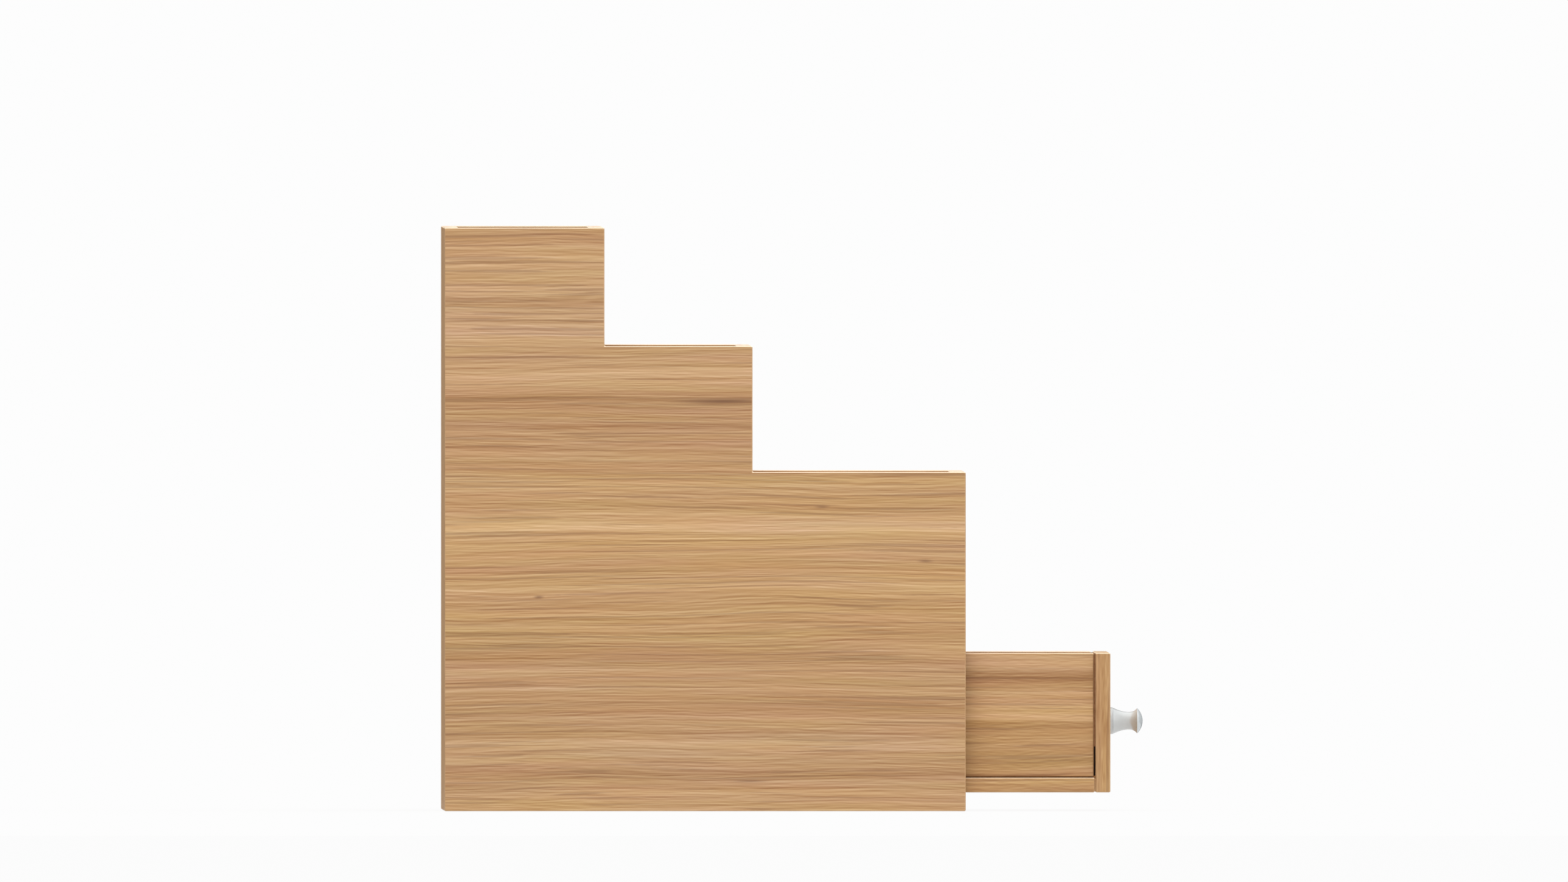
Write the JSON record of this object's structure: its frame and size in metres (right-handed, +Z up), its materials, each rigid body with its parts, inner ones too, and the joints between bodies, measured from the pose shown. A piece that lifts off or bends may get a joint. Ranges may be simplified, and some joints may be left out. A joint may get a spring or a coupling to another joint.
{
  "type": "stepped desk organiser with drawer",
  "caption": "Stepped tabletop organiser of thin wood-grain boards: open-topped compartments in descending tiers over a shallow sliding drawer with a small turned metal knob.",
  "frame": {"origin": "middle of the carcass's underside, on the surface that it stands on", "axes": "+X out of the drawer's front, which is the way it opens; +Y to the right as seen from the front, across the width; +Z up"},
  "size_m": [0.2363, 0.15, 0.197],
  "materials": {
    "wood_grain": "satin light-brown wood-grain laminate, grain running front to back",
    "beech_dowel": "plain beech",
    "glide_tape": "smooth low-friction tape",
    "knob_metal": "polished",
    "zinc_plate": "zinc plated"
  },
  "bodies": {
    "carcass": {"back_panel": "wood_grain", "base_panel": "wood_grain", "dowel_back_left_1": "beech_dowel", "dowel_back_left_2": "beech_dowel", "dowel_back_right_1": "beech_dowel", "dowel_back_right_2": "beech_dowel", "dowel_base_left_1": "beech_dowel", "dowel_base_left_2": "beech_dowel", "dowel_base_right_1": "beech_dowel", "dowel_base_right_2": "beech_dowel", "dowel_front_left_1": "beech_dowel", "dowel_front_left_2": "beech_dowel", "dowel_front_right_1": "beech_dowel", "dowel_front_right_2": "beech_dowel", "dowel_middle_left_1": "beech_dowel", "dowel_middle_left_2": "beech_dowel", "dowel_middle_right_1": "beech_dowel", "dowel_middle_right_2": "beech_dowel", "dowel_rear_left_1": "beech_dowel", "dowel_rear_left_2": "beech_dowel", "dowel_rear_right_1": "beech_dowel", "dowel_rear_right_2": "beech_dowel", "dowel_shelf_left_1": "beech_dowel", "dowel_shelf_left_2": "beech_dowel", "dowel_shelf_right_1": "beech_dowel", "dowel_shelf_right_2": "beech_dowel", "drawer_shelf": "wood_grain", "front_divider": "wood_grain", "front_tier_front": "wood_grain", "glide_strip_left": "glide_tape", "glide_strip_right": "glide_tape", "middle_divider": "wood_grain", "middle_tier_front": "wood_grain", "rear_tier_front": "wood_grain", "side_panel_left": "wood_grain", "side_panel_right": "wood_grain"},
    "drawer": {"dowel_drawer_back_left_1": "beech_dowel", "dowel_drawer_back_left_2": "beech_dowel", "dowel_drawer_back_right_1": "beech_dowel", "dowel_drawer_back_right_2": "beech_dowel", "dowel_drawer_bottom_1": "beech_dowel", "dowel_drawer_bottom_2": "beech_dowel", "dowel_drawer_front_left_1": "beech_dowel", "dowel_drawer_front_left_2": "beech_dowel", "dowel_drawer_front_right_1": "beech_dowel", "dowel_drawer_front_right_2": "beech_dowel", "drawer_back": "wood_grain", "drawer_bottom": "wood_grain", "drawer_front": "wood_grain", "drawer_side_left": "wood_grain", "drawer_side_right": "wood_grain", "knob": "knob_metal", "knob_flange": "knob_metal", "knob_screw": "zinc_plate", "knob_washer": "zinc_plate"}
  },
  "joints": [
    {"name": "drawer_slide", "type": "slide", "parent": "carcass", "child": "drawer", "axis": [1, 0, 0], "range_m": [-0.0489, 0.1]}
  ]
}
